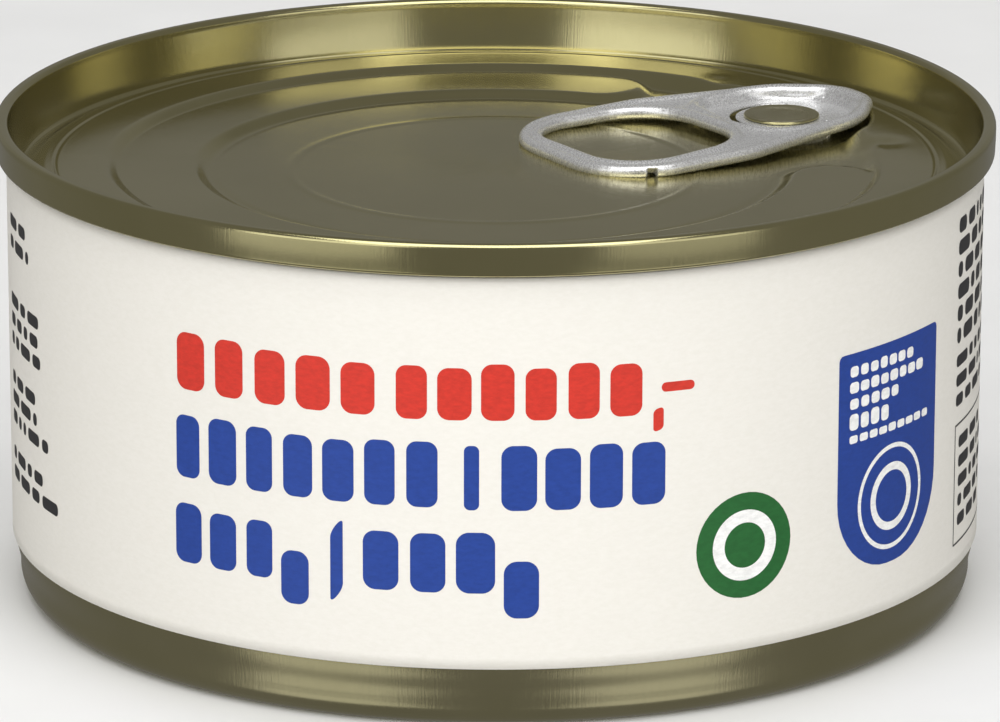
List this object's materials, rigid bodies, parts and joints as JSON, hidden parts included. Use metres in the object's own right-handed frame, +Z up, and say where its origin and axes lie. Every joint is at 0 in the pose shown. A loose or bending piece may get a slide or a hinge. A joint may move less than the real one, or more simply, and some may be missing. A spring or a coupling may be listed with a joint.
{
  "type": "food can",
  "caption": "Shut low round food can with a drawn metal body, an easy-open end seamed on top, a riveted ring-pull tab and a wrap-round paper label.",
  "frame": {"origin": "centre of the base, on the plane that the can stands on", "axes": "+Z up along the can's axis; the tab points from the centre towards +X and a third of a right angle towards +Y; the label's front faces -Y"},
  "size_m": [0.0864, 0.0864, 0.0419],
  "materials": {
    "body_tinplate": "tinplate with a glossy gold-olive lacquer",
    "end_tinplate": "tinplate with a glossy gold-olive lacquer",
    "tab_metal": "satin silver tinplate",
    "label_paper": "smooth printed paper"
  },
  "bodies": {
    "root": {"can_body": "body_tinplate", "can_end": "end_tinplate", "pull_tab": "tab_metal", "label": "label_paper"}
  },
  "joints": []
}
